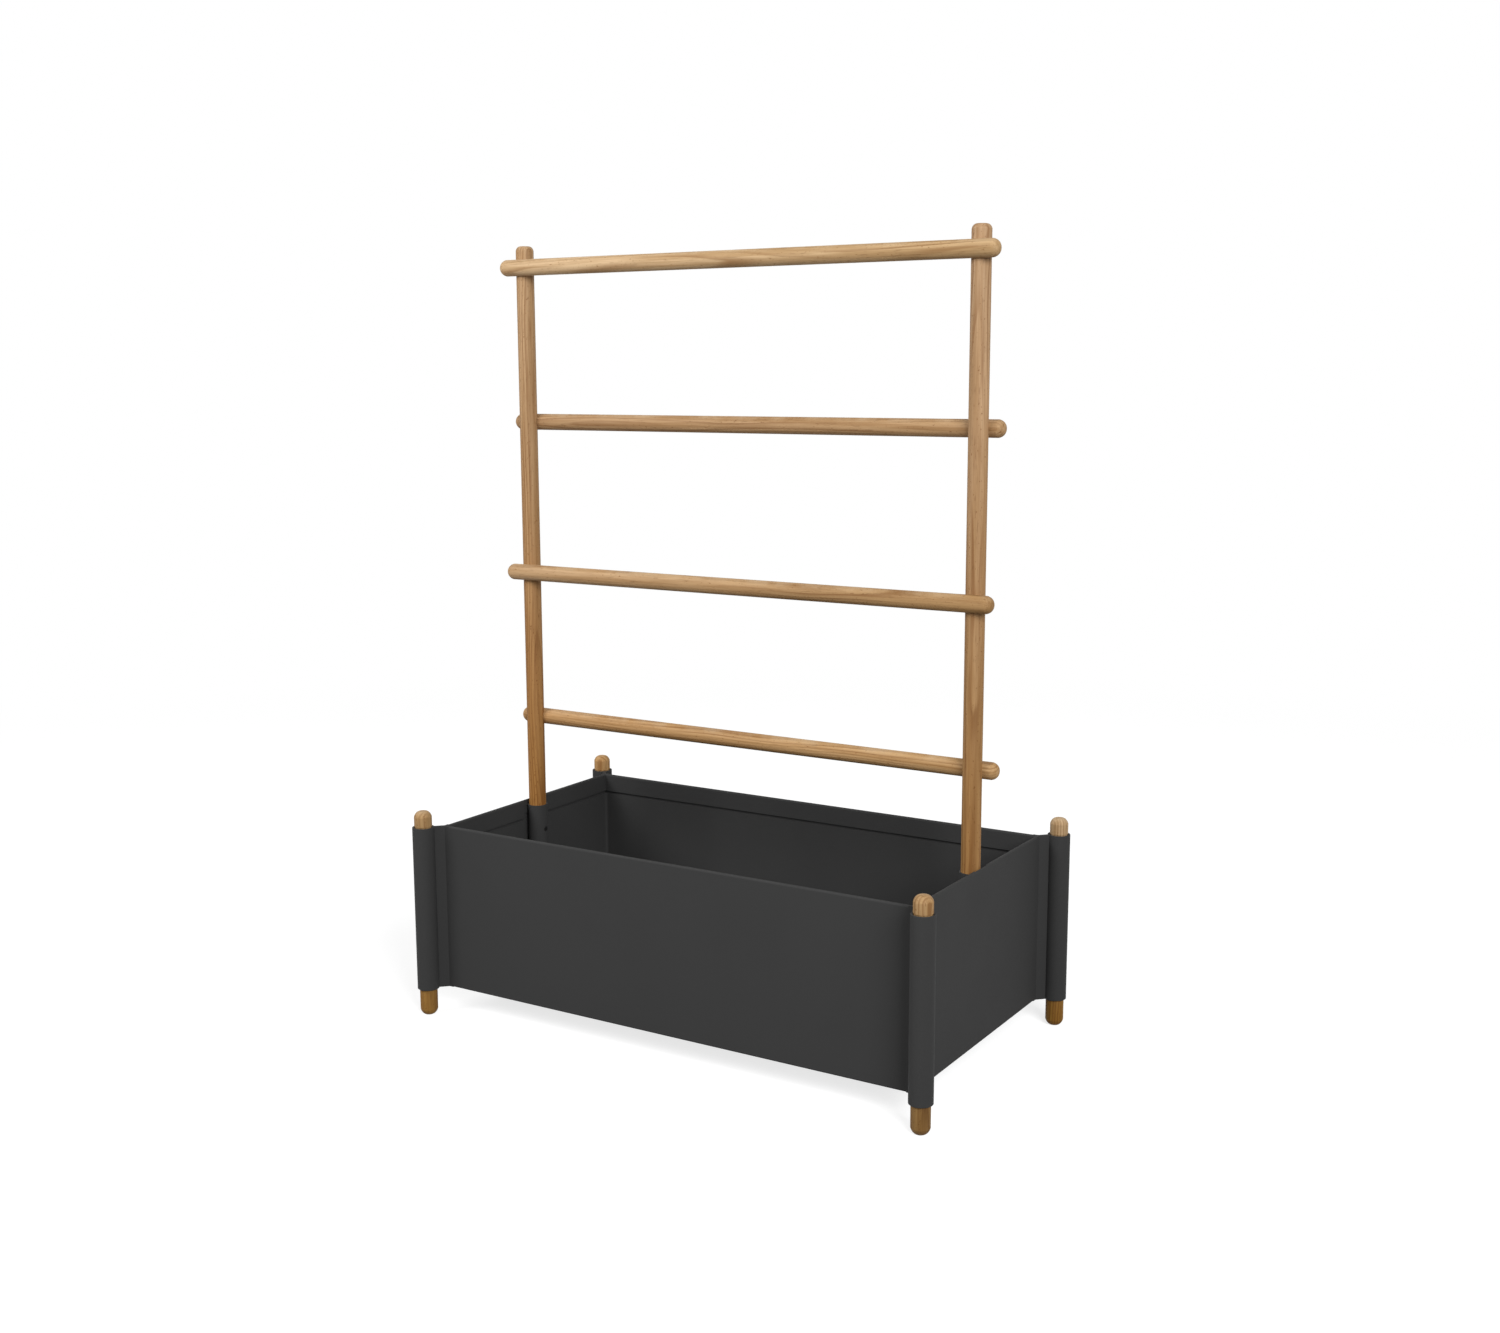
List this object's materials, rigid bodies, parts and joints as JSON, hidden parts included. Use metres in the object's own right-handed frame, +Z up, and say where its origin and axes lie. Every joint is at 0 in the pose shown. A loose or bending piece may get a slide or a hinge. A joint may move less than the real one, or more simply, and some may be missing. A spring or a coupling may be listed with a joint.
{
  "type": "planter with trellis",
  "caption": "Low rectangular sheet-metal planter box with round corner posts on wooden feet, a sheet liner, and a lift-out wooden ladder trellis standing in two tube sockets.",
  "frame": {"origin": "on the floor, under the middle of the box, which is also the middle of the trellis", "axes": "+X along the box's length to the right, +Y towards the back, +Z up"},
  "size_m": [0.8824, 0.494, 1.177],
  "materials": {
    "powder_coat": "aluminium with a matt, fine-textured anthracite powder coat",
    "teak": "fine-sanded, untreated",
    "steel": "stainless steel fasteners",
    "black_steel": "black oxide"
  },
  "bodies": {
    "planter": {"corner_profile_front_left": "powder_coat", "corner_profile_front_right": "powder_coat", "corner_profile_back_left": "powder_coat", "corner_profile_back_right": "powder_coat", "stick_front_left": "teak", "stick_front_right": "teak", "stick_back_left": "teak", "stick_back_right": "teak", "front_panel": "powder_coat", "back_panel": "powder_coat", "left_panel": "powder_coat", "right_panel": "powder_coat", "liner": "powder_coat", "cross_rail_1": "powder_coat", "cross_rail_2": "powder_coat", "cross_rail_3": "powder_coat", "cross_rail_4": "powder_coat", "rail_screws": "steel", "socket_left": "powder_coat", "socket_right": "powder_coat", "set_screw_left": "black_steel", "set_screw_right": "black_steel"},
    "trellis": {"trellis_post_left": "teak", "trellis_post_right": "teak", "rung_top": "teak", "rung_upper": "teak", "rung_lower": "teak", "rung_bottom": "teak", "rung_screws_front": "steel", "rung_screws_back": "steel"}
  },
  "joints": [
    {"name": "trellis_lift", "type": "slide", "parent": "planter", "child": "trellis", "axis": [0, 0, 1], "range_m": [0, 0.15]}
  ]
}
